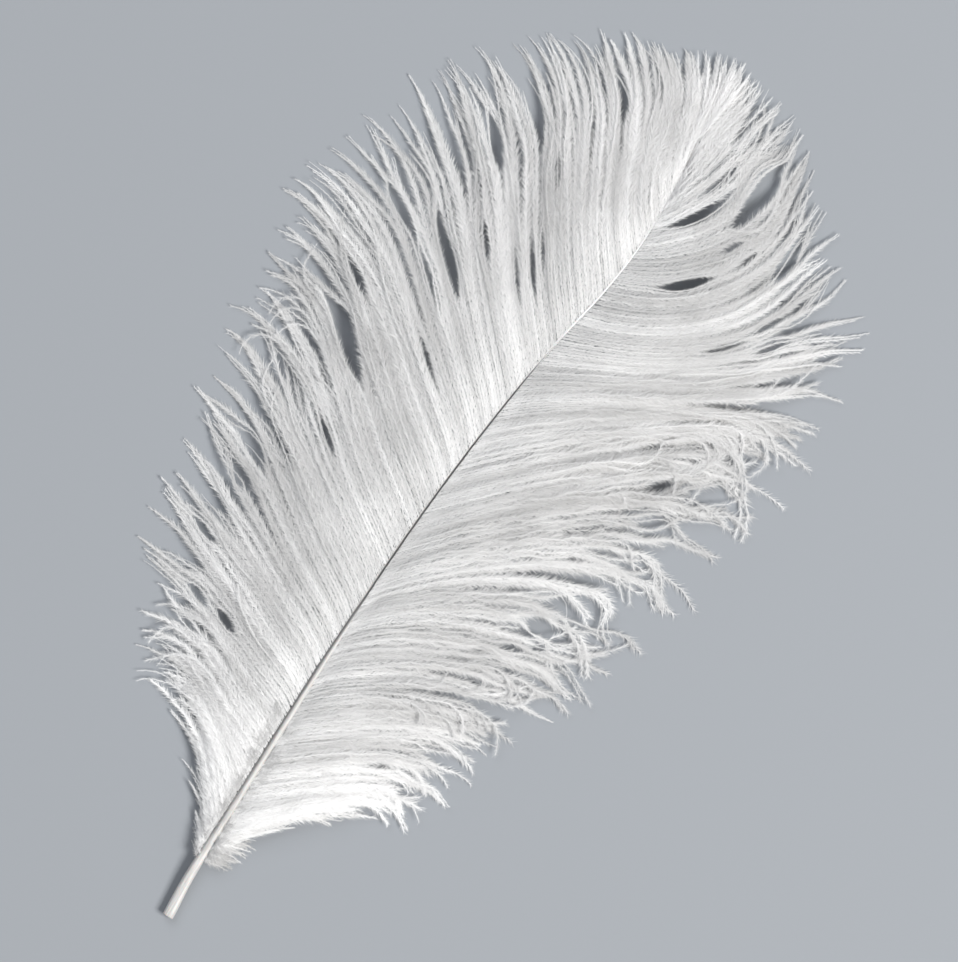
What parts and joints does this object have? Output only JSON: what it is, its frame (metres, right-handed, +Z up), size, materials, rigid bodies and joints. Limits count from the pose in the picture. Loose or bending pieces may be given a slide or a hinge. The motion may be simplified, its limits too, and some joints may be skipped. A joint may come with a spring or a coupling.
{
  "type": "ostrich feather",
  "caption": "Full white plume lying flat: a slim curved shaft with a bare quill end, and a broad soft vane whose edge breaks into pointed locks.",
  "frame": {"origin": "middle of the plan outline, on the surface the feather lies on", "axes": "+Y from the cut quill end to the tip, +X across the vane to the right seen from above, +Z up from the surface"},
  "size_m": [0.1588, 0.2816, 0.0141],
  "materials": {
    "keratin": "matte, bleached white"
  },
  "bodies": {
    "root": {"feather": "keratin"}
  },
  "joints": []
}
